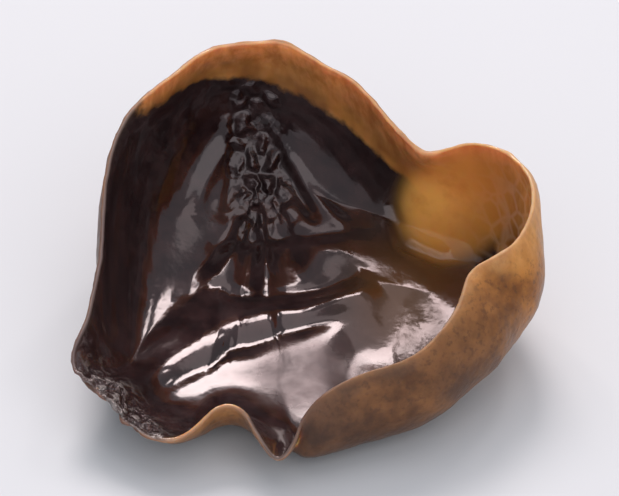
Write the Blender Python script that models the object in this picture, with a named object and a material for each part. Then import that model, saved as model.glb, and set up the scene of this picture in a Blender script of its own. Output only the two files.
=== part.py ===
"""Wood ear mushroom: one cup-shaped, gelatinous fruiting body, picked and soaked, lying on a table.

The cup opens upwards and towards -Y. Its back wall stands highest, its right side carries a small ear lobe,
its front margin is lobed, and underneath at the back is the short foot where it was cut flat from the wood.
The whole ear is one piece of flesh: a curved sheet, thickest round the foot and thinnest at the margin.
Metres, +Z up. The table is the plane z = 0, and the origin is in it, at the centre of the ear's own box.
"""

import math

import bmesh
import bpy
import numpy as np

MM = 0.001

# Driving dimensions, in millimetres.
FOOT_TOP = np.array([-6.0, 8.0, 7.0])  # middle of the sheet above the foot, where every fold starts
CUP_MIDDLE = np.array([0.0, -16.0])
SHEET_PITCH = math.radians(38)  # how steeply the sheet rises towards the back, there
FLESH_AT_FOOT = 2.6  # thickness of the sheet
FLESH_AT_MARGIN = 1.1
FOOT_CENTRE = np.array([-6.4, 8.6])
FOOT_RADII = np.array([5.0, 4.0])  # of the cut face, along X and Y
SAG_BLEND = 0.5  # how softly the sheet settles onto the table

# The margin, going round anticlockwise from the middle of the back. X, Y and Z of the edge, then the wall's
# belly under it: how far further out the wall bulges (less than 0 where it leans out to the edge instead),
# and how much lower that is. Then the wall's lower end: its share of the way from the foot to the belly, and
# its Z.
MARGIN = [
    (-5.0, 8.2, 25.9, 2.8, 5.5, 0.95, 13.6),
    (-10.3, 7.6, 25.5, 2.8, 5.5, 0.92, 12.0),
    (-15.2, 4.4, 24.6, 2.0, 6.0, 0.86, 9.0),
    (-19.0, 1.0, 23.0, 1.0, 6.5, 0.80, 6.4),
    (-22.6, -5.0, 20.4, 0.2, 6.5, 0.78, 4.6),
    (-24.0, -11.5, 16.8, 0.0, 6.0, 0.78, 3.4),
    (-23.8, -18.5, 13.4, 0.0, 5.5, 0.82, 2.4),
    (-25.2, -25.5, 11.2, -1.4, 4.6, 0.84, 1.6),
    (-26.6, -31.2, 8.6, -3.0, 3.6, 0.85, 1.0),
    (-22.6, -35.4, 7.0, -3.4, 2.8, 0.86, 0.8),
    (-16.0, -40.4, 4.8, -2.8, 1.8, 0.87, 0.8),
    (-8.8, -37.2, 7.2, -0.4, 3.4, 0.88, 0.9),
    (-2.8, -42.4, 3.4, -3.2, 0.8, 0.88, 0.8),
    (0.2, -39.4, 7.8, 2.6, 3.8, 0.90, 0.8),
    (5.0, -37.8, 9.9, 3.4, 5.6, 0.90, 1.0),
    (12.6, -35.8, 12.4, 3.6, 5.4, 0.90, 1.6),
    (17.2, -31.0, 15.2, 4.4, 5.6, 0.90, 2.6),
    (19.0, -24.6, 17.0, 6.6, 5.6, 0.90, 3.6),
    (23.4, -21.6, 18.0, 4.0, 5.8, 0.90, 4.6),
    (25.2, -15.0, 20.2, 2.4, 6.0, 0.90, 4.8),
    (23.6, -9.8, 21.0, 1.6, 6.0, 0.88, 5.0),
    (20.2, -6.4, 20.6, 2.2, 5.6, 0.86, 5.2),
    (16.2, -4.2, 19.2, 2.2, 4.8, 0.84, 5.4),
    (12.6, -2.6, 19.0, 2.6, 5.2, 0.80, 5.8),
    (9.4, 0.4, 20.8, 2.2, 5.6, 0.80, 6.8),
    (4.0, 4.8, 23.6, 2.2, 5.6, 0.86, 9.6),
]

SPOKES = 84  # lines of vertices that run out from the foot to the margin
RINGS = 15  # rows of vertices between the foot and the margin, on each face of the sheet
NEAR_REACH = 26.0  # keeps the first rings round the foot round: mm
NEAR_STEP = 3.5  # how far from the foot a spoke still lies in the sheet's own slope
MIDDLE_FALL = 0.7  # how much of its fall to the floor a spoke has made half way
RIM_TURN = (50, 0, -50)  # degrees round the margin's rounded edge

# Folds in the sheet, each a ridge along a path seen from above: its points, its height and its half width.
FOLDS = [
    ([(-22.0, -30.0), (-17.0, -24.5), (-11.0, -18.5), (-3.0, -15.0), (7.0, -13.0)], 1.7, 2.2),
    ([(-9.5, -38.0), (-9.0, -32.0)], 0.8, 2.2),
    ([(-13.0, -10.5), (-6.0, -9.5), (4.0, -8.5)], -0.8, 1.9),
    ([(2.0, -40.0), (0.0, -33.0), (-2.0, -27.0)], -0.5, 2.0),
]

FOOT_STEPS = (0.35, 0.7, 1.0)  # where the rows lie on the curve from the underside down to the cut
FOOT_WAIST = 1.12  # how much wider than its cut face the foot is above it
WAIST_HEIGHT = 2.8  # at most, in millimetres
FOOT_RIBS = (0.05, 0.07)  # how far its seven small ribs and three large ones stand out, as shares of its radii
CUT_STEPS = (0.94, 0.5, 0.0)  # sizes of the rows on the cut face, as shares of its radii
CUT_ROUNDING = 0.25  # height of the step in from the foot's side to its cut face
FOOT_EVENNESS = 0.35  # how much more evenly than on the sheet the spokes are spread round the foot
COLLAR = 4  # the ring of the underside where the foot begins
SHEET_EASING = 6  # passes over the sheet that ease its tightest creases
FACE_EASING = 6  # and over each of its faces
EASED_TO = 0.8  # how far out towards the margin
PLEAT_HEIGHT = 0.6  # of the pleats that fan out from the foot
RIPPLE_HEIGHT = 0.25  # of the ripple along the margin
GATHER_DEPTH = 1.8  # extra flesh under the sheet, close round the foot
GATHER_REACH = 8.5


def through(keys, at, closed=False):
    """Values of the smooth curve through the keys, at these shares of the way from key to key."""
    keys = np.asarray(keys, float)
    if closed:
        keys = np.vstack([keys[-1:], keys, keys[:2]])
    else:
        keys = np.vstack([2 * keys[:1] - keys[1:2], keys, 2 * keys[-1:] - keys[-2:-1]])
    gaps = np.linalg.norm(np.diff(keys[:, :3], axis=0), axis=1)
    knots = np.concatenate([[0.0], np.cumsum(gaps)]) - gaps[0]
    steps = np.diff(keys, axis=0) / gaps[:, None]
    share = (gaps[:-1] / (gaps[:-1] + gaps[1:]))[:, None]
    slopes = steps[:-1] * (1 - share) + steps[1:] * share
    place = np.asarray(at) * knots[-2]
    first = np.clip(np.searchsorted(knots, place, side="right") - 1, 1, len(keys) - 3)
    gap = gaps[first][:, None]
    t = (place - knots[first])[:, None] / gap
    return (
        keys[first] * (1 + 2 * t) * (1 - t) ** 2
        + slopes[first - 1] * gap * t * (1 - t) ** 2
        + keys[first + 1] * t**2 * (3 - 2 * t)
        + slopes[first] * gap * t**2 * (t - 1)
    )


def unit(vectors):
    return vectors / np.linalg.norm(vectors, axis=-1, keepdims=True)


def evenly(keys, count):
    """The closed curve through the keys, at points the same distance apart."""
    fine = through(keys, np.linspace(0, 1, 4001), closed=True)
    length = np.concatenate([[0.0], np.cumsum(np.linalg.norm(np.diff(fine[:, :3], axis=0), axis=1))])
    wanted = np.arange(count) * length[-1] / count
    return np.stack([np.interp(wanted, length, column) for column in fine.T], axis=1)


def spoke_keys(edge):
    """The points that a spoke runs through, from the foot to one point of the margin.

    Across the cup's floor it is straight as seen from above, so that no two spokes cross.
    """
    tip, (bulge, drop, wall, wall_z) = edge[:3], edge[3:]
    outwards = unit(tip[:2] - CUP_MIDDLE)
    belly = np.append(tip[:2] + outwards * bulge, tip[2] - drop)
    run = (belly[:2] - FOOT_TOP[:2]) * wall
    low = np.append(FOOT_TOP[:2] + run, wall_z)
    step = run * min(0.35, NEAR_STEP / np.linalg.norm(run))
    near = FOOT_TOP + np.append(step, step[1] * math.tan(SHEET_PITCH))
    middle = np.append((near + low)[:2] / 2, near[2] + (wall_z - near[2]) * MIDDLE_FALL)
    return np.array([FOOT_TOP, near, middle, low, belly, tip])


def ring_shares(length):
    """How far along its spoke each ring is; the first are as far out on a short spoke as on a long one."""
    v = np.linspace(0, 1, RINGS + 1)
    quick = min(1.7, NEAR_REACH / length)
    return v * (quick + (1 - quick) * v)


def middle_surface():
    """The sheet's middle surface, as points [spoke, ring], with the way each spoke leaves the foot."""
    rows, starts = [], []
    for edge in evenly(MARGIN, SPOKES):
        keys = spoke_keys(edge)
        rows.append(through(keys, ring_shares(np.linalg.norm(np.diff(keys, axis=0), axis=1).sum())))
        starts.append(unit(keys[1] - keys[0]))
    return np.array(rows), np.array(starts)


def normals_of(sheet):
    """The sheet's normals, on the side that faces into the cup, and its directions along the spokes."""
    along = np.gradient(sheet, axis=1)
    around = np.roll(sheet, -1, axis=0) - np.roll(sheet, 1, axis=0)
    around[:, 0] = around[:, 1]
    return unit(np.cross(along, around)), unit(along)


def eased_normals(normals):
    """The normals without the pleats' own swing, for the underside, which doesn't follow every pleat."""
    for _ in range(8):
        normals = normals + np.roll(normals, 1, axis=0) + np.roll(normals, -1, axis=0)
        normals[:, 1:-1] += (normals[:, :-2] + normals[:, 2:]) / 2
        normals = unit(normals)
    return normals


def distance_to_path(points, path):
    """How far points, seen from above, are from a path of straight runs, and how far along it, 0 to 1."""
    best = np.full(points.shape[:-1], 1e9)
    for start, end in zip(path, path[1:]):
        a, run = np.array(start), np.array(end) - np.array(start)
        t = np.clip(((points - a) @ run) / (run @ run), 0, 1)
        best = np.minimum(best, np.linalg.norm(points - (a + t[..., None] * run), axis=-1))
    return best


def folds_of(sheet, normals):
    """How far each point of the sheet is pushed up or down by its ridges and pleats."""
    push = np.zeros(sheet.shape[:2])
    for path, height, half_width in FOLDS:
        push += height * np.exp(-((distance_to_path(sheet[..., :2], path) / half_width) ** 2))
    v = np.linspace(0, 1, RINGS + 1)[None, :]
    turn = np.linspace(0, math.tau, SPOKES, endpoint=False)[:, None]
    pleats = np.sin(6 * turn + 0.9 * np.sin(2 * turn + 0.5) + 3 * v) * np.exp(-(((v - 0.38) / 0.14) ** 2))
    ripple = np.sin(13 * turn + 2.1 * np.sin(3 * turn)) * v**6
    push += PLEAT_HEIGHT * pleats * np.sin(turn / 2) ** 3 + RIPPLE_HEIGHT * ripple
    return normals * push[..., None]


def relaxed(sheet, passes):
    """The sheet with its tightest creases eased, most of all near the foot. Its walls are held."""
    sheet = sheet.copy()
    v = np.linspace(0, 1, RINGS + 1)[1:-1, None]
    ease = 0.5 * np.clip((EASED_TO - v) / 0.4, 0.06, 1)
    for _ in range(passes):
        around = (np.roll(sheet, 1, axis=0) + np.roll(sheet, -1, axis=0)) / 2
        along = (sheet[:, :-2] + sheet[:, 2:]) / 2
        eased = (around[:, 1:-1] + along) / 2
        sheet[:, 1:-1] += (eased - sheet[:, 1:-1]) * ease
        sheet[:, 0] += (sheet[:, 1].mean(axis=0) - sheet[:, 0]) * 0.3
    return sheet


def lift_of(underside):
    """How far each point has to rise for the underside to lie on the table, and nowhere below it."""
    rise = underside[..., 2] / SAG_BLEND
    lying = SAG_BLEND * np.log1p(np.exp(np.clip(rise, -40, 40)))
    return np.where(rise > 12, 0.0, lying - underside[..., 2])


def foot_rings(collar, starts):
    """Rows of vertices from the collar, the underside's last row, down the foot and over its cut face."""
    back = np.array([0.0, math.cos(SHEET_PITCH), math.sin(SHEET_PITCH)])
    fan = np.unwrap(np.arctan2(starts @ back, starts[:, 0]))
    even = fan[0] + np.linspace(0, math.tau, SPOKES, endpoint=False)
    angle = fan + (even - fan) * FOOT_EVENNESS
    ribs = 1 + FOOT_RIBS[0] * np.sin(7 * angle + 0.7) + FOOT_RIBS[1] * np.sin(3 * angle)
    plan = np.stack([np.cos(angle), np.sin(angle)], axis=1) * ribs[:, None] * FOOT_RADII
    edge = np.column_stack([FOOT_CENTRE + plan, np.zeros(SPOKES)])
    waist_height = np.minimum(collar[:, 2] * 0.5, WAIST_HEIGHT)
    waist = np.column_stack([FOOT_CENTRE + plan * FOOT_WAIST, waist_height])
    rings = [collar * (1 - t) ** 2 + waist * 2 * t * (1 - t) + edge * t**2 for t in FOOT_STEPS]
    for size in CUT_STEPS:
        rings.append(np.column_stack([FOOT_CENTRE + plan * size, np.zeros(SPOKES)]))
    for ring in rings[:2]:
        ring[:, 2] = np.maximum(ring[:, 2], 0.0)
    rings[len(FOOT_STEPS) - 1][:, 2] = CUT_ROUNDING
    return rings


def ear_rows():
    """Every row of vertices, from the inside of the cup above the foot, round the margin, to the cut face."""
    sheet, starts = middle_surface()
    sheet = relaxed(sheet, SHEET_EASING)
    normals, along = normals_of(sheet)
    v = np.linspace(0, 1, RINGS + 1)
    turn = np.linspace(0, math.tau, SPOKES, endpoint=False)[:, None]
    half = (FLESH_AT_FOOT + (FLESH_AT_MARGIN - FLESH_AT_FOOT) * np.sqrt(v)) / 2
    gather = GATHER_DEPTH * np.exp(-((np.linalg.norm(sheet - FOOT_TOP, axis=-1) / GATHER_REACH) ** 2))
    gather *= 1 + 0.4 * np.sin(9 * turn + 2 * np.sin(2 * turn))
    eased = unit(eased_normals(normals) + (normals - eased_normals(normals)) * (v**0.7)[:, None])
    inner = relaxed(sheet + eased * half[:, None], FACE_EASING)
    outer = relaxed(sheet - eased * (half + gather)[..., None], FACE_EASING)
    folds = folds_of(sheet, normals)
    lift = lift_of(outer + folds)
    for face in (sheet, inner, outer):
        face += folds
        face[..., 2] += lift
    rows = [inner[:, ring] for ring in range(RINGS + 1)]
    for tilt in np.radians(RIM_TURN):
        outwards = normals[:, -1] * math.sin(tilt) + along[:, -1] * math.cos(tilt)
        rows.append(sheet[:, -1] + half[-1] * outwards)
    rows += [outer[:, ring] for ring in range(RINGS, COLLAR - 1, -1)]
    return rows + foot_rings(outer[:, COLLAR], starts)


def ear_object():
    """A UV sphere whose meridians become the spokes, from the inside of the cup to the cut face."""
    rows = ear_rows()
    bands = len(rows) - 1
    bm = bmesh.new()
    bmesh.ops.create_uvsphere(bm, u_segments=SPOKES, v_segments=bands, radius=1)
    for vert in bm.verts:
        row = round(math.acos(max(-1.0, min(1.0, vert.co.z))) / math.pi * bands)
        spoke = round(math.atan2(vert.co.y, vert.co.x) / math.tau * SPOKES) % SPOKES
        vert.co = rows[row][spoke] * MM
    low = [min(v.co[axis] for v in bm.verts) for axis in (0, 1)]
    high = [max(v.co[axis] for v in bm.verts) for axis in (0, 1)]
    bmesh.ops.translate(bm, verts=bm.verts, vec=(-(low[0] + high[0]) / 2, -(low[1] + high[1]) / 2, 0))
    mesh = bpy.data.meshes.new("ear")
    bm.to_mesh(mesh)
    bm.free()
    mesh.shade_smooth()
    return bpy.data.objects.new("ear", mesh)


def flesh_material():
    material = bpy.data.materials.new("ear_flesh")
    material.use_nodes = True
    shader = material.node_tree.nodes["Principled BSDF"]
    shader.inputs["Base Color"].default_value = (0.045, 0.022, 0.015, 1)
    shader.inputs["Roughness"].default_value = 0.2
    shader.inputs["Metallic"].default_value = 0.0
    return material


def main():
    for obj in list(bpy.data.objects):
        bpy.data.objects.remove(obj)
    collection = bpy.data.collections.new("wood_ear_mushroom")
    bpy.context.scene.collection.children.link(collection)
    ear = ear_object()
    ear.data.materials.append(flesh_material())
    collection.objects.link(ear)


main()
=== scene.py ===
"""Looks of a soaked wood ear mushroom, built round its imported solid.

The CAD ear is copied, welded and subdivided, then carved: creases and a knot of wrinkles inside the cup,
gathers and fine pebbling outside, a crinkled margin. Its wet inner skin and its velvety outer skin are two
materials that meet along the margin. Lengths are millimetres, turned into metres only where Blender takes
them.
"""

import math

import bpy
import numpy as np
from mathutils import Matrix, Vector, noise


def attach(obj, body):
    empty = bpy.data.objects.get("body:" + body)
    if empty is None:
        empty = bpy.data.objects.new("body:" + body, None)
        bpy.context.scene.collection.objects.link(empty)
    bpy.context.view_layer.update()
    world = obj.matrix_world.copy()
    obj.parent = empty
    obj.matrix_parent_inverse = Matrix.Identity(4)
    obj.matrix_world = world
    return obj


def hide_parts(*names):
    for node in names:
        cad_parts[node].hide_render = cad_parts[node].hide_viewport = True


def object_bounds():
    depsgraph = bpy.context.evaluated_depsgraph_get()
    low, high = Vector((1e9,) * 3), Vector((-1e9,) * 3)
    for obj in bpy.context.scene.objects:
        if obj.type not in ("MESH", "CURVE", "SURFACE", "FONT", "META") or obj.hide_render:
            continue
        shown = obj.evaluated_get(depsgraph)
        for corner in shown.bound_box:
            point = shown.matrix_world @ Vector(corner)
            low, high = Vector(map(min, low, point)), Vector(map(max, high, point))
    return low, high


MM = 0.001

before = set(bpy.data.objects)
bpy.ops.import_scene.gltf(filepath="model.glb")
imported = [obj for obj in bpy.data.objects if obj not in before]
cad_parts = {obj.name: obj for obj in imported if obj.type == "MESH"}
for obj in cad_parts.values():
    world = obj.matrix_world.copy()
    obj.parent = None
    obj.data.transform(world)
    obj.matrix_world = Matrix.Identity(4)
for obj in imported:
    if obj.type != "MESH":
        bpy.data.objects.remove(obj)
cad_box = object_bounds()

WELD = 0.02
HUB_EDGES = 40  # only the middle of a face of the CAD mesh has so many edges
MARGIN_ROW = 17  # rings of the CAD mesh from the middle of the inner face to the margin
FINE_ROWS = 10  # rings of the inner face that are halved
HUB_ROWS = 2  # rings in the middle of the inner face that a grid replaces
HUB_SPAN = 21
SUBDIVISIONS = 2

MOUTH_TILT = math.radians(38)  # of the view down into the cup, whose plane gives its folds' coordinates
MOUTH_UP = np.array([0, math.sin(MOUTH_TILT), math.cos(MOUTH_TILT)])
HOLLOW = np.array([0.0, -1.0, 16.0])  # a point in the middle of the cup's hollow
FOOT = np.array([-6.7, 23.6, 0.0])  # middle of the cut face
FOOT_TOP = np.array([-6.1, 21.2, 7.2])  # where the pleats run together inside the cup
FOOT_REACH = 7.5

# Heights of the carved relief.
SLACK_HEIGHT = 0.14
KNOT_HEIGHT = 0.8
SWELL_HEIGHT = 0.14
PEBBLE_HEIGHT = 0.05
GATHER_HEIGHT = 0.45
EDGE_THINNING = 0.22
WAVE_HEIGHT = 0.18
RIPPLE_HEIGHT = 0.05
CRUMPLE_HEIGHT = 1.0

RELIEF_START = 0.6  # distance from the margin where the relief begins
RELIEF_FULL = 3.0  # and where it has its full height
EASE_PASSES = 120  # how often the calm part of the floor is averaged with its surroundings
BOX_GAP = 0.01  # left between the skin and the sides of the CAD model's box

# How wide the amber border is, by the angle round the cup, in degrees anticlockwise from +X.
AMBER_WIDTH = [
    (-180, 0.2), (-150, 0.2), (-130, 0.6), (-121, 2.6), (-111, 2.6), (-104, 0.9), (-92, 1.2), (-80, 1.6),
    (-50, 1.5), (-22, 3.0), (-8, 7.0), (5, 11.0), (25, 12.0), (42, 10.0), (52, 8.8), (65, 8.4), (85, 8.6),
    (100, 8.0), (112, 6.6), (122, 4.8), (134, 3.2), (146, 1.6), (158, 0.4), (180, 0.2),
]

# Creases inside the cup: points across the mouth and up it, height (less than 0 for a valley), half width.
CREASES = [
    (
        [(-20.0, -8.0), (-14.5, -4.4), (-11.0, -2.2), (-7.0, -0.4), (-3.0, 1.1), (2.0, 2.4), (8.0, 3.4)],
        -0.85, 1.6,
    ),
    ([(4.2, -6.5), (4.8, -2.5), (6.2, 1.0)], -0.7, 2.0),
    ([(-22.0, -3.4), (-17.4, -0.9), (-13.5, 1.2)], 0.42, 1.4),
    ([(8.0, -4.5), (9.4, 0.5), (10.8, 6.5)], -0.9, 3.0),
    ([(-18.2, -7.2), (-10.8, -3.6)], 0.35, 1.0),
    ([(-10.8, 5.9), (-8.1, 4.6), (-1.5, 4.9), (4.8, 6.5)], -0.5, 0.8),
    ([(-11.5, 11.0), (-2.2, 11.9), (6.5, 12.6)], -0.4, 0.9),
    ([(-4.8, 24.0), (-0.2, 17.2), (4.5, 12.6)], 0.45, 1.0),
    ([(-9.5, 24.0), (-12.5, 18.5), (-14.2, 14.0)], 0.4, 1.1),
    ([(-5.2, 24.0), (-2.2, 19.0), (0.4, 14.0)], -0.55, 0.8),
    ([(-8.8, 22.5), (-10.0, 14.5)], -0.4, 0.8),
    ([(11.2, 20.0), (9.8, 15.5), (11.2, 11.0), (15.5, 9.0), (20.5, 9.2)], -0.6, 0.8),
]

# Places inside the cup: across its mouth, up it, half width, half height.
POCKET = (17.0, 15.5, 7.9, 7.6)  # the side lobe, thin enough for light to come through
# Where the painted glow of light through the lobe is brightest.
GLOW = (14.8, 16.2, 5.5, 5.0)  # the brightest part of the lobe
LIP = (24.6, 14.0, 4.5, 7.5)  # the lobe's free edge, with a net of pale lines
DEEP = (11.5, 5.0, 7.5, 8.5)  # the slope below the lobe, where a little light comes through
TROUGH = (0.0, -4.5, 8.0, 5.0)  # the hollow behind the front margin, less shiny than the rest
CALM = (-6.0, 1.0, 12.0, 6.5)  # the floor below the knot, smoother than the solid's
CRUMPLE = (-21.5, -7.0, 8.5, 6.0)  # the front left of the margin

# Where the wall stands a little off the solid's: place and reach as above, how far across and up the mouth
# it moves, and how far from the margin that goes.
SHIFTS = [
    ((13.5, 21.0, 3.0, 3.0), (0.0, -1.1), 4.0),
    ((19.5, 21.0, 4.5, 3.5), (0.0, 0.6), 4.0),
    ((24.5, 17.0, 6.0, 6.0), (1.4, 0.6), 7.0),
    ((8.5, -9.0, 11.0, 7.0), (-0.5, 2.0), 10.0),
    ((19.0, -5.0, 8.0, 8.0), (-1.2, 0.8), 10.0),
]

# Colours of the thin flesh, the margin, the thick flesh inside, the lobe and the crumple.
THIN_ORANGE = (0.50, 0.215, 0.055, 1.0)
THIN_YELLOW = (0.76, 0.39, 0.125, 1.0)
BORDER_BROWN = (0.30, 0.115, 0.025, 1.0)
BORDER_TAN = (0.58, 0.27, 0.070, 1.0)
# The pale line along the margin: partly its own lighter colour, partly a painted highlight on the wet edge.
EDGE_GREY_GLINT = (0.22, 0.15, 0.135, 1.0)
EDGE_PALE_GLINT = (0.75, 0.50, 0.31, 1.0)
NEAR_BLACK = (0.014, 0.0062, 0.0068, 1.0)
DARK_PLUM = (0.036, 0.0165, 0.0165, 1.0)
# Painted shade: the flesh darkened in the grooves of the relief.
GROOVE_SHADE_BLACK = (0.0035, 0.0015, 0.0015, 1.0)
# Painted glow of light coming through the slope below the lobe.
DEEP_GLOW_BROWN = (0.115, 0.055, 0.018, 1.0)
# The lobe: its own thin amber flesh with a painted glow of light coming through it, brightest in the gold.
LOBE_HONEY = (0.60, 0.26, 0.050, 1.0)
LOBE_GLOW_GOLD = (0.98, 0.60, 0.14, 1.0)
NET_PALE = (0.80, 0.56, 0.36, 1.0)
# Painted glints on the crumpled wet margin.
CRUMPLE_GLINT_SILVER = (0.42, 0.37, 0.35, 1.0)
WET_TINT = (1.0, 0.84, 0.86, 1.0)

# Colours of the outer skin, and of the foot's cut face.
TAN_DARK = (0.230, 0.080, 0.015, 1.0)
TAN_LIGHT = (0.52, 0.205, 0.040, 1.0)
UMBER_DARK = (0.040, 0.020, 0.014, 1.0)
UMBER_LIGHT = (0.115, 0.055, 0.032, 1.0)
SPECK_BROWN = (0.080, 0.032, 0.015, 1.0)
CUT_DARK = (0.17, 0.095, 0.050, 1.0)
CUT_LIGHT = (0.30, 0.19, 0.11, 1.0)

FLOOR_SIDE = 4000.0
FLOOR_GREY = (0.66, 0.68, 0.71, 1.0)
SKY_TINT = (0.90, 0.93, 1.0, 1.0)
SKY_STRENGTH = 0.50
LIGHT_DISTANCE = 660.0
LIGHT_AIM = 10.0  # height of the point that the lights face
WARM_WHITE = (1.0, 0.90, 0.88)
WHITE = (1.0, 1.0, 1.0)

# Soft lights: degrees from the far side of the ear towards +X, elevation, width, height, radiance, tint.
LIGHTS = {
    "window_back": (-4, 51, 210, 240, 13, WARM_WHITE),
    "window_left": (-27, 50, 60, 180, 11, WARM_WHITE),
    "window_right": (32, 46, 70, 120, 11, WARM_WHITE),
    "overhead": (45, 84, 560, 420, 1.0, WARM_WHITE),
    "front_fill": (167, 38, 900, 600, 0.9, WHITE),
}

CAMERA_DISTANCE = 600.0
CAMERA_LENS = 300


def select_only(piece):
    bpy.ops.object.select_all(action="DESELECT")
    piece.select_set(True)
    bpy.context.view_layer.objects.active = piece


def smooth_step(low, high, value):
    t = np.clip((value - low) / (high - low), 0, 1)
    return t * t * (3 - 2 * t)


def points_and_normals(ear):
    """The mesh's vertices in millimetres, and their normals."""
    count = len(ear.data.vertices)
    points = np.empty(count * 3)
    normals = np.empty(count * 3)
    ear.data.vertices.foreach_get("co", points)
    ear.data.vertices.foreach_get("normal", normals)
    return points.reshape(-1, 3) / MM, normals.reshape(-1, 3)


def edges_of(ear):
    edges = np.empty(len(ear.data.edges) * 2, int)
    ear.data.edges.foreach_get("vertices", edges)
    return edges.reshape(-1, 2)


def mark_rows(ear):
    """Notes how many rings of the CAD mesh each vertex is from the middle of the inner face."""
    points, _ = points_and_normals(ear)
    edges = edges_of(ear)
    hubs = np.flatnonzero(np.bincount(edges.ravel()) > HUB_EDGES)
    hub = hubs[np.argmin(np.linalg.norm(points[hubs] - FOOT_TOP, axis=1))]
    rows = np.full(len(points), -1.0, np.float32)
    rows[hub] = 0
    while (rows < 0).any():
        known = rows[edges] >= 0
        fringe = edges[known[:, 0] != known[:, 1]].ravel()
        rows[fringe[rows[fringe] < 0]] = rows.max() + 1
    note(ear, "row", rows)


def rows_of(ear):
    rows = np.empty(len(ear.data.vertices), np.float32)
    ear.data.attributes["row"].data.foreach_get("value", rows)
    return rows


def note(ear, name, values):
    """Leaves a number on each vertex of the mesh."""
    attribute = ear.data.attributes.new(name, "FLOAT", "POINT")
    attribute.data.foreach_set("value", values.astype(np.float32))


def select_parts(ear, kind, chosen):
    """Goes into edit mode with only the chosen vertices or edges selected."""
    for parts in (ear.data.vertices, ear.data.edges, ear.data.polygons):
        parts.foreach_set("select", np.zeros(len(parts), bool))
    parts = ear.data.vertices if kind == "VERT" else ear.data.edges
    parts.foreach_set("select", chosen)
    bpy.ops.object.mode_set(mode="EDIT")
    bpy.ops.mesh.select_mode(type=kind)


def split_rings(ear):
    """Halves the long faces of the inner rings, where the finest wrinkles go."""
    ends = rows_of(ear)[edges_of(ear)]
    between_rings = np.abs(ends[:, 0] - ends[:, 1]) > 0.5
    select_parts(ear, "EDGE", between_rings & (ends.max(axis=1) <= FINE_ROWS))
    bpy.ops.mesh.subdivide(number_cuts=1)
    bpy.ops.object.mode_set(mode="OBJECT")


def fill_hub(ear):
    """Puts an even grid of faces in place of the slivers in the middle of the inner face."""
    select_parts(ear, "VERT", rows_of(ear) < HUB_ROWS - 0.1)
    bpy.ops.mesh.delete(type="VERT")
    bpy.ops.mesh.select_non_manifold()
    bpy.ops.mesh.fill_grid(span=HUB_SPAN)
    bpy.ops.mesh.select_all(action="SELECT")
    bpy.ops.mesh.normals_make_consistent(inside=False)
    bpy.ops.object.mode_set(mode="OBJECT")


def flesh_copy():
    """A closed mesh of quads from the CAD ear, fine enough to carve."""
    ear = bpy.data.objects.new("wood_ear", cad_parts["ear"].data.copy())
    bpy.context.scene.collection.objects.link(ear)
    ear.data.materials.clear()
    select_only(ear)
    bpy.ops.mesh.customdata_custom_splitnormals_clear()
    bpy.ops.object.mode_set(mode="EDIT")
    bpy.ops.mesh.select_all(action="SELECT")
    bpy.ops.mesh.remove_doubles(threshold=WELD * MM)
    bpy.ops.object.mode_set(mode="OBJECT")
    mark_rows(ear)
    bpy.ops.object.mode_set(mode="EDIT")
    bpy.ops.mesh.tris_convert_to_quads(face_threshold=math.pi, shape_threshold=math.pi)
    bpy.ops.object.mode_set(mode="OBJECT")
    split_rings(ear)
    fill_hub(ear)
    bpy.ops.object.shade_smooth()
    finer = ear.modifiers.new("finer", "SUBSURF")
    finer.levels = finer.render_levels = SUBDIVISIONS
    bpy.ops.object.modifier_apply(modifier="finer")
    return ear


def blurred(values, edges, passes):
    """Values on the vertices, each averaged with its neighbours' as many times."""
    ends = np.concatenate([edges[:, 0], edges[:, 1]])
    others = np.concatenate([edges[:, 1], edges[:, 0]])
    neighbours = np.bincount(ends, minlength=len(values))
    for _ in range(passes):
        around = np.bincount(ends, weights=values[others], minlength=len(values)) / neighbours
        values = (values + around) / 2
    return values


def blurred_vectors(vectors, edges, passes):
    return np.stack([blurred(part, edges, passes) for part in vectors.T], axis=1)


def distance_to_points(points, line):
    best = np.full(len(points), 1e9)
    for place in line:
        best = np.minimum(best, ((points - place) ** 2).sum(axis=1))
    return np.sqrt(best)


def distance_to_path(places, path):
    """How far places across the mouth are from a path of straight runs, and how far along it, from 0 to 1."""
    best = np.full(len(places), 1e9)
    along = np.zeros(len(places))
    runs = len(path) - 1
    for number, (start, end) in enumerate(zip(path, path[1:])):
        start = np.array(start)
        run = np.array(end) - start
        t = np.clip((places - start) @ run / (run @ run), 0, 1)
        far = np.linalg.norm(places - (start + t[:, None] * run), axis=1)
        along = np.where(far < best, (number + t) / runs, along)
        best = np.minimum(best, far)
    return best, along


def bell(distance, reach, power=2):
    """1 where the distance is 0, falling smoothly to nearly 0 beyond the reach."""
    return np.exp(-((distance / reach) ** power))


def patch_at(mouth, patch, power=2):
    """1 in the middle of a patch across the mouth, falling to 0 round it."""
    x, y, half_width, half_height = patch
    far = np.hypot((mouth[:, 0] - x) / half_width, (mouth[:, 1] - y) / half_height)
    return np.exp(-((far * 1.2) ** power))


def seed_shift(seed):
    return Vector((seed, seed * 1.7, -seed * 2.3))


def noise_at(places, size, seed, octaves=3):
    """Smooth noise of about -1 to 1, with features about as large as size."""
    shift = seed_shift(seed)
    return np.array([noise.fractal(Vector(p) / size + shift, 0.8, 2.0, octaves) for p in places])


def ridges_at(places, size, seed):
    """Ridged noise from 0 to about 1: sharp crests with wide valleys."""
    shift = seed_shift(seed)
    raw = np.array([noise.noise(Vector(p) / size + shift) for p in places])
    return 1 - np.clip(np.abs(raw) * 2.6, 0, 1)


def lumps_at(places, size, seed):
    """Round lumps about as large as size, from 0 in the grooves between them to 1."""
    shift = seed_shift(seed)
    nearest = np.array([noise.voronoi(Vector(p) / size + shift)[0][:2] for p in places])
    return smooth_step(0.0, 0.7, nearest[:, 1] - nearest[:, 0])


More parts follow.
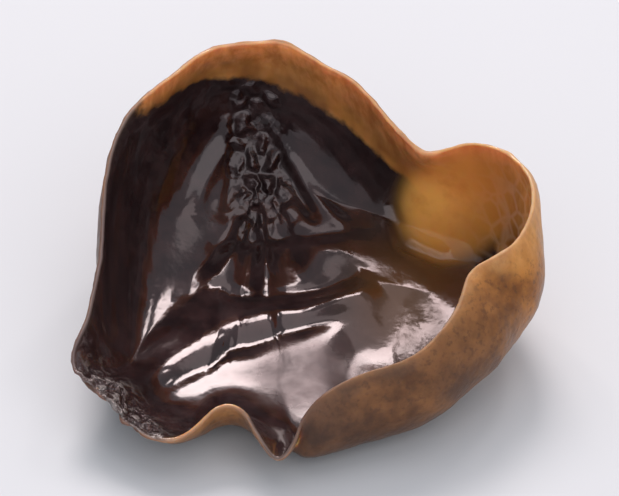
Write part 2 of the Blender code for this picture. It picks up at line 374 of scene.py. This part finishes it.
def crease_push(mouth):
    push = np.zeros(len(mouth))
    for path, height, half_width in CREASES:
        far, along = distance_to_path(mouth, path)
        fade = np.sin(np.pi * np.clip(along, 0.04, 0.96)) ** 0.5
        push += height * bell(far, half_width) * fade
    return push


def knot_of(mouth):
    """Where the knot of wrinkles is: a leaning column from the crown down over the foot's top."""
    up = mouth[:, 1] - 21.0
    across = mouth[:, 0] + 6.2 + 0.10 * up
    return bell(across, 3.4, 4) * bell(up, 9.5, 4)


def knot_push(points, mouth):
    warp = noise_at(points, size=2.6, seed=4.0)
    bent = np.stack(
        [points[:, 0] + warp * 0.7, points[:, 1] * 0.7, points[:, 2] * 0.7 + warp * 0.4], axis=1
    )
    return (lumps_at(bent, size=2.0, seed=1.0) - 0.55) * KNOT_HEIGHT * knot_of(mouth)


def gather_push(points):
    """Folds of the outer skin drawn together at the foot."""
    from_foot = points - FOOT
    around = np.arctan2(from_foot[:, 0], -from_foot[:, 1])
    reach = np.linalg.norm(from_foot, axis=1)
    fan = np.stack([around * 7.0, reach * 0.16, points[:, 2] * 0.1], axis=1)
    folds = ridges_at(fan, size=1.0, seed=3.0) - 0.35
    return folds * GATHER_HEIGHT * bell(reach, 16.0) * smooth_step(0.5, 3.0, points[:, 2])


def skin_push(points, mouth, edges, inside, edge_distance):
    """How far each point moves along its normal: wrinkles inside, pebbling outside, a thinner edge."""
    away = smooth_step(RELIEF_START, RELIEF_FULL, edge_distance)
    slack = noise_at(points, size=7.0, seed=2.0, octaves=1) * SLACK_HEIGHT
    push = inside * away * (crease_push(mouth) + slack)
    push += inside * blurred(knot_push(points, mouth), edges, 2)
    swells = noise_at(points, size=5.0, seed=8.0) * SWELL_HEIGHT
    pebbles = noise_at(points, size=1.3, seed=6.0) * PEBBLE_HEIGHT
    push += (1 - inside) * (gather_push(points) + away * (swells + pebbles))
    return push - EDGE_THINNING * bell(edge_distance, 1.6) * smooth_step(0.1, 0.6, edge_distance)


def sheet_bend(points, normals, edges, inside, edge_distance, crumple):
    """How the whole sheet goes to and fro near the margin, most where it is crumpled."""
    across_sheet = blurred_vectors(normals * (inside * 2 - 1)[:, None], edges, 6)
    waves = noise_at(points, size=2.6, seed=9.0) * WAVE_HEIGHT
    ripples = noise_at(points, size=1.1, seed=11.0) * RIPPLE_HEIGHT
    crests = crumple * (ridges_at(points, size=2.2, seed=13.0) - 0.4) * CRUMPLE_HEIGHT
    bend = bell(edge_distance, 2.2 + 3.0 * crumple) * (waves + ripples + crests)
    return across_sheet * bend[:, None]


def wall_shift(points, mouth, edge_distance):
    """How far the wall moves where it stands off the solid's."""
    above_floor = smooth_step(0.0, 5.0, points[:, 2])
    shift = np.zeros_like(points)
    for patch, (across, up), depth in SHIFTS:
        share = patch_at(mouth, patch) * bell(edge_distance, depth) * above_floor
        shift += share[:, None] * (across * np.array([1, 0, 0]) + up * MOUTH_UP)
    return shift


def kept_in_box(points):
    low, high = (np.array(corner) / MM for corner in cad_box)
    return np.clip(points, low + BOX_GAP, high - BOX_GAP)


def skin_facts(points, mouth, edges, inside, edge_distance, push, crumple):
    """What the materials need to know of each point, from 0 to 1."""
    around = np.degrees(np.arctan2(points[:, 1] - HOLLOW[1], points[:, 0] - HOLLOW[0]))
    width = np.interp(around, *zip(*AMBER_WIDTH))
    amber = smooth_step(0.0, 1.0, 0.5 + (width - edge_distance) / 3.4) * smooth_step(0.1, 4.0, width)
    warm = smooth_step(0.2, 5.0, width) + noise_at(points, size=9.0, seed=21.0) * 0.25
    warm = blurred(np.clip(warm, 0, 1), edges, 40)
    behind = (1 - inside) * smooth_step(0, 18, points[:, 1])
    # How far each point lies below its surroundings, which sets the painted shade in the grooves.
    groove_shade = push - blurred(push, edges, 12)
    from_foot = np.linalg.norm(points[:, :2] - FOOT[:2], axis=1)
    foot_disc = smooth_step(FOOT_REACH, FOOT_REACH - 1, from_foot)
    return {
        "amber": np.maximum(amber, 0.9 * patch_at(mouth, LIP, 4)),
        "warm": warm * (1 - 0.45 * behind),
        # The thin line along the margin, partly its own colour and partly a painted highlight.
        "edge": np.exp(-edge_distance / 0.35),
        "border": np.clip(edge_distance / np.maximum(width, 0.5), 0, 2) / 2,
        "groove_shade": smooth_step(0.02, -0.22, groove_shade),
        "knot": knot_of(mouth) * inside,
        "crumple": crumple * bell(edge_distance, 5.0),
        # The lobe, whose colour is partly a painted glow of light through it.
        "pocket": patch_at(mouth, POCKET, 9),
        "glow": patch_at(mouth, GLOW),
        "lip": patch_at(mouth, LIP),
        "deep": patch_at(mouth, DEEP),
        "dull": patch_at(mouth, TROUGH, 4),
        "cut": smooth_step(0.5, 0.1, points[:, 2]) * foot_disc,
    }


def carve(ear):
    """Carves the skins, leaves on the mesh what its materials need, and says which vertices are inside."""
    points, normals = points_and_normals(ear)
    edges = edges_of(ear)
    row = rows_of(ear)
    mouth = np.stack([points[:, 0], points @ MOUTH_UP], axis=1)
    inside = smooth_step(MARGIN_ROW + 0.4, MARGIN_ROW - 0.4, row)
    edge_distance = distance_to_points(points, points[np.abs(row - MARGIN_ROW) < 0.13])
    crumple = patch_at(mouth, CRUMPLE, 4)

    calm = inside * smooth_step(RELIEF_START, RELIEF_FULL, edge_distance) * patch_at(mouth, CALM, 6)
    moved = points + calm[:, None] * (blurred_vectors(points, edges, EASE_PASSES) - points)

    push = skin_push(points, mouth, edges, inside, edge_distance)
    relief = normals * push[:, None] + sheet_bend(points, normals, edges, inside, edge_distance, crumple)
    foot_face = (np.linalg.norm(points[:, :2] - FOOT[:2], axis=1) < FOOT_REACH) & (points[:, 2] < 0.35)
    moved += np.where(foot_face, 0, 1)[:, None] * relief
    moved += wall_shift(points, mouth, edge_distance)

    moved = kept_in_box(moved)
    moved[points[:, 2] < 0.04, 2] = 0.0  # what the ear stands on stays flat
    ear.data.vertices.foreach_set("co", (moved * MM).ravel())
    ear.data.update()

    facts = skin_facts(points, mouth, edges, inside, edge_distance, push, crumple)
    for name, values in facts.items():
        note(ear, name, values)
    return inside


class Shader:
    """A material's node tree, with short calls to add its nodes."""

    def __init__(self, name):
        self.material = bpy.data.materials.new(name)
        self.material.use_nodes = True
        self.tree = self.material.node_tree

    def put(self, socket, value):
        if isinstance(value, bpy.types.NodeSocket):
            self.tree.links.new(value, socket)
        else:
            socket.default_value = value

    def node(self, kind, settings=None, **inputs):
        node = self.tree.nodes.new(kind)
        for name, value in (settings or {}).items():
            setattr(node, name, value)
        for name, value in inputs.items():
            self.put(node.inputs[name], value)
        return node

    def fact(self, name):
        return self.node("ShaderNodeAttribute", {"attribute_name": name}).outputs["Fac"]

    def place(self):
        return self.node("ShaderNodeTexCoord").outputs["Object"]

    def math(self, operation, first, second, third=0.0):
        node = self.node("ShaderNodeMath", {"operation": operation})
        for socket, value in zip(node.inputs, (first, second, third)):
            self.put(socket, value)
        return node.outputs[0]

    def times(self, first, second):
        return self.math("MULTIPLY", first, second)

    def spread(self, value, low, high, to_low=0.0, to_high=1.0):
        """A value's range from low to high, spread smoothly over another."""
        node = self.node("ShaderNodeMapRange", {"interpolation_type": "SMOOTHSTEP"}, Value=value)
        for number, limit in enumerate((low, high, to_low, to_high), 1):
            node.inputs[number].default_value = limit
        return node.outputs["Result"]

    def mix(self, share, first, second):
        """Two colours mixed, by the sockets that the node has for colours."""
        node = self.node("ShaderNodeMix", {"data_type": "RGBA"})
        self.put(node.inputs[0], share)
        self.put(node.inputs[6], first)
        self.put(node.inputs[7], second)
        return node.outputs[2]

    def cloud(self, size, detail=3.0, roughness=0.55, stretch=(1.0, 1.0, 1.0)):
        """Noise from 0 to 1 with features about as large as size, in millimetres."""
        place = self.node("ShaderNodeMapping", Vector=self.place(), Scale=stretch).outputs["Vector"]
        scale = 1 / (size * MM)
        texture = self.node(
            "ShaderNodeTexNoise", Vector=place, Scale=scale, Detail=detail, Roughness=roughness
        )
        return texture.outputs["Fac"]

    def cells(self, size, feature):
        """Cells about as large as size, in millimetres."""
        scale = 1 / (size * MM)
        texture = self.node("ShaderNodeTexVoronoi", {"feature": feature}, Vector=self.place(), Scale=scale)
        return texture.outputs["Distance"]

    def bump(self, height, strength, depth, under=None):
        node = self.node("ShaderNodeBump", Height=height, Strength=strength, Distance=depth * MM)
        if under:
            self.put(node.inputs["Normal"], under)
        return node.outputs["Normal"]

    def finish(self, sockets):
        """Sets the surface's sockets, each to a value or to what a node gives."""
        surface = self.tree.nodes["Principled BSDF"]
        for name, value in sockets.items():
            self.put(surface.inputs[name], value)
        return self.material


def amber_colour(shader):
    """Thin flesh: orange-brown where it is thinnest, browner and streaked towards the dark middle."""
    streaks = shader.spread(shader.cloud(1.6, 4.0, 0.6, stretch=(1.0, 1.0, 0.35)), 0.3, 0.72)
    blotches = shader.spread(shader.cloud(4.5, 2.0), 0.35, 0.7)
    thin = shader.mix(streaks, THIN_ORANGE, THIN_YELLOW)
    brown = shader.mix(blotches, BORDER_BROWN, BORDER_TAN)
    return shader.mix(shader.spread(shader.fact("border"), 0.15, 0.5), thin, brown)


def with_pale_edge_and_glint(shader, skin):
    """A skin with its thin pale line along the margin: partly the margin's own lighter colour, partly a
    painted highlight on the wet edge.
    """
    edge = shader.mix(shader.fact("warm"), EDGE_GREY_GLINT, EDGE_PALE_GLINT)
    return shader.mix(shader.times(shader.fact("edge"), 0.6), skin, edge)


def amber_share(shader):
    """How amber the inner skin is, uneven where it turns dark."""
    near_margin = shader.fact("amber")
    uneven = shader.math("MULTIPLY_ADD", shader.cloud(2.2, 5.0, 0.62), 0.9, -0.45)
    uneven = shader.times(uneven, shader.spread(near_margin, 0.0, 0.2))
    return shader.spread(shader.math("ADD", near_margin, uneven), 0.30, 0.72)


def dark_colour(shader):
    """Thick flesh: nearly black, with painted shade blackest in the grooves and a painted brown glow where a
    little light comes through.
    """
    mottle = shader.spread(shader.cloud(3.4, 4.0, 0.6), 0.35, 0.68)
    dark = shader.mix(mottle, NEAR_BLACK, DARK_PLUM)
    # Painted shade, blackest in the grooves.
    dark = shader.mix(shader.times(shader.fact("groove_shade"), 0.8), dark, GROOVE_SHADE_BLACK)
    # Painted brown glow where a little light comes through.
    return shader.mix(shader.times(shader.fact("deep"), 0.8), dark, DEEP_GLOW_BROWN)


def with_lobe(shader, skin):
    """The inner skin with the lobe's colour, partly its own thin amber flesh and partly a painted glow of
    light coming through it, and the net of pale lines at its lip.
    """
    # Painted glow of light through the thin lobe.
    glow = shader.times(shader.fact("glow"), shader.spread(shader.cloud(3.0), 0.25, 0.6, 0.55, 1.0))
    lobe = shader.mix(glow, LOBE_HONEY, LOBE_GLOW_GOLD)
    skin = shader.mix(shader.times(shader.fact("pocket"), 0.92), skin, lobe)
    lines = shader.spread(shader.cells(2.1, "DISTANCE_TO_EDGE"), 0.0, 0.2, 0.3, 0.0)
    return shader.mix(shader.times(shader.fact("lip"), lines), skin, NET_PALE)


def with_painted_glints(shader, skin):
    """The inner skin with painted glints: pale flecks where the wet margin is crumpled."""
    flecks = shader.spread(shader.cloud(1.1), 0.5, 0.62, 0.0, 0.6)
    return shader.mix(shader.times(shader.fact("crumple"), flecks), skin, CRUMPLE_GLINT_SILVER)


def wet_relief(shader):
    """Fine unevenness of the wet skin, pebbles in the knot, wrinkles in the crumple."""
    relief = shader.bump(shader.cloud(1.9, 2.0), 0.2, 0.2)
    relief = shader.bump(shader.cloud(0.55, 3.0, 0.5), 0.10, 0.10, relief)
    relief = shader.bump(shader.cells(0.95, "SMOOTH_F1"), shader.times(shader.fact("knot"), 0.8), 0.4, relief)
    return shader.bump(shader.cloud(1.1), shader.fact("crumple"), 2.4, relief)


def wet_inside():
    """The cup's inner skin: smooth, wet, nearly black, amber where the flesh is thin."""
    shader = Shader("wet_inner_skin")
    amber = amber_share(shader)
    skin = shader.mix(amber, dark_colour(shader), amber_colour(shader))
    skin = with_lobe(shader, skin)
    skin = with_pale_edge_and_glint(shader, skin)
    skin = with_painted_glints(shader, skin)
    thin = shader.math("MAXIMUM", amber, shader.fact("pocket"))
    gloss = shader.spread(shader.cloud(2.5), 0.3, 0.75, 0.10, 0.20)
    less_wet = shader.math("MAXIMUM", shader.fact("deep"), shader.fact("dull"))
    return shader.finish({
        "Base Color": skin,
        "Roughness": shader.math("ADD", gloss, shader.times(shader.fact("dull"), 0.22)),
        "Subsurface Weight": shader.times(thin, 0.7),
        "Subsurface Radius": (1.0, 0.38, 0.10),
        "Subsurface Scale": 2.4 * MM,
        "IOR": 1.55,
        "Specular Tint": WET_TINT,
        "Coat Weight": shader.math("SUBTRACT", 0.6, less_wet),
        "Coat Roughness": 0.04,
        "Coat IOR": 1.4,
        "Normal": wet_relief(shader),
    })


def velvet_outside():
    """The outer skin: tan-brown to amber, damp, pebbled and covered in very short hairs."""
    shader = Shader("velvet_outer_skin")
    blotches = shader.cloud(5.0, 4.0, 0.6)
    specks = shader.cloud(0.7, 2.0, 0.6)
    warm = shader.fact("warm")
    patches = shader.spread(blotches, 0.34, 0.66)
    umber = shader.mix(patches, UMBER_DARK, UMBER_LIGHT)
    skin = shader.mix(warm, umber, shader.mix(patches, TAN_DARK, TAN_LIGHT))
    skin = shader.mix(shader.spread(specks, 0.5, 0.72, 0.0, 0.55), skin, SPECK_BROWN)
    near_edge = shader.times(shader.spread(shader.fact("border"), 0.55, 0.0, 0.0, 0.75), warm)
    skin = shader.mix(near_edge, skin, amber_colour(shader))
    skin = with_pale_edge_and_glint(shader, skin)
    cut_face = shader.mix(shader.spread(specks, 0.3, 0.7), CUT_DARK, CUT_LIGHT)
    skin = shader.mix(shader.fact("cut"), skin, cut_face)
    pebbles = shader.bump(shader.cells(0.75, "SMOOTH_F1"), 0.30, 0.22)
    return shader.finish({
        "Base Color": skin,
        "Roughness": shader.spread(blotches, 0.3, 0.7, 0.34, 0.50),
        "Subsurface Weight": 0.3,
        "Subsurface Radius": (1.0, 0.42, 0.14),
        "Subsurface Scale": 2.0 * MM,
        "IOR": 1.36,
        "Coat Weight": 0.05,
        "Coat Roughness": 0.18,
        "Sheen Weight": 0.03,
        "Sheen Roughness": 0.4,
        "Normal": shader.bump(shader.cloud(0.16, 2.0, 0.6), 0.25, 0.10, pebbles),
    })


def dress(ear, inside):
    """The inner skin on the faces that look into the cup, the outer skin on the rest."""
    ear.data.materials.append(wet_inside())
    ear.data.materials.append(velvet_outside())
    for face in ear.data.polygons:
        face.material_index = 0 if inside[list(face.vertices)].mean() > 0.5 else 1


def pale_floor():
    bpy.ops.mesh.primitive_plane_add(size=FLOOR_SIDE * MM, location=(0, 0, 0))
    floor = bpy.context.object
    floor.name = "floor"
    matt = Shader("pale_floor").finish({"Base Color": FLOOR_GREY, "Roughness": 0.6})
    floor.data.materials.append(matt)


def softbox(name, azimuth, elevation, width, height, radiance, tint):
    """A rectangular soft light that faces the ear."""
    light = bpy.data.lights.new(name, "AREA")
    light.shape = "RECTANGLE"
    light.size = width * MM
    light.size_y = height * MM
    light.energy = radiance * math.pi * width * height * MM * MM
    light.color = tint
    lamp = bpy.data.objects.new(name, light)
    bpy.context.scene.collection.objects.link(lamp)
    turn = math.radians(azimuth)
    rise = math.radians(elevation)
    away = Vector((math.sin(turn) * math.cos(rise), math.cos(turn) * math.cos(rise), math.sin(rise)))
    lamp.location = Vector((0, 0, LIGHT_AIM * MM)) + away * LIGHT_DISTANCE * MM
    lamp.rotation_euler = away.to_track_quat("Z", "Y").to_euler()


def studio():
    world = bpy.data.worlds.new("studio")
    world.use_nodes = True
    sky = world.node_tree.nodes["Background"]
    sky.inputs["Color"].default_value = SKY_TINT
    sky.inputs["Strength"].default_value = SKY_STRENGTH
    bpy.context.scene.world = world
    bpy.context.scene.view_settings.view_transform = "Standard"
    for name, settings in LIGHTS.items():
        softbox(name, *settings)


def camera():
    low, high = (np.array(corner) for corner in cad_box)
    middle = Vector((low + high) / 2)
    lens = bpy.data.cameras.new("camera")
    lens.lens = CAMERA_LENS
    eye = bpy.data.objects.new("camera", lens)
    bpy.context.scene.collection.objects.link(eye)
    back = Vector((0.0, -math.cos(MOUTH_TILT), math.sin(MOUTH_TILT)))
    eye.location = middle + back * (CAMERA_DISTANCE * MM)
    eye.rotation_euler = back.to_track_quat("Z", "Y").to_euler()
    bpy.context.scene.camera = eye


def main():
    ear = flesh_copy()
    inside = carve(ear)
    dress(ear, inside)
    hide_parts("ear")
    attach(ear, "root")
    pale_floor()
    studio()
    camera()


main()
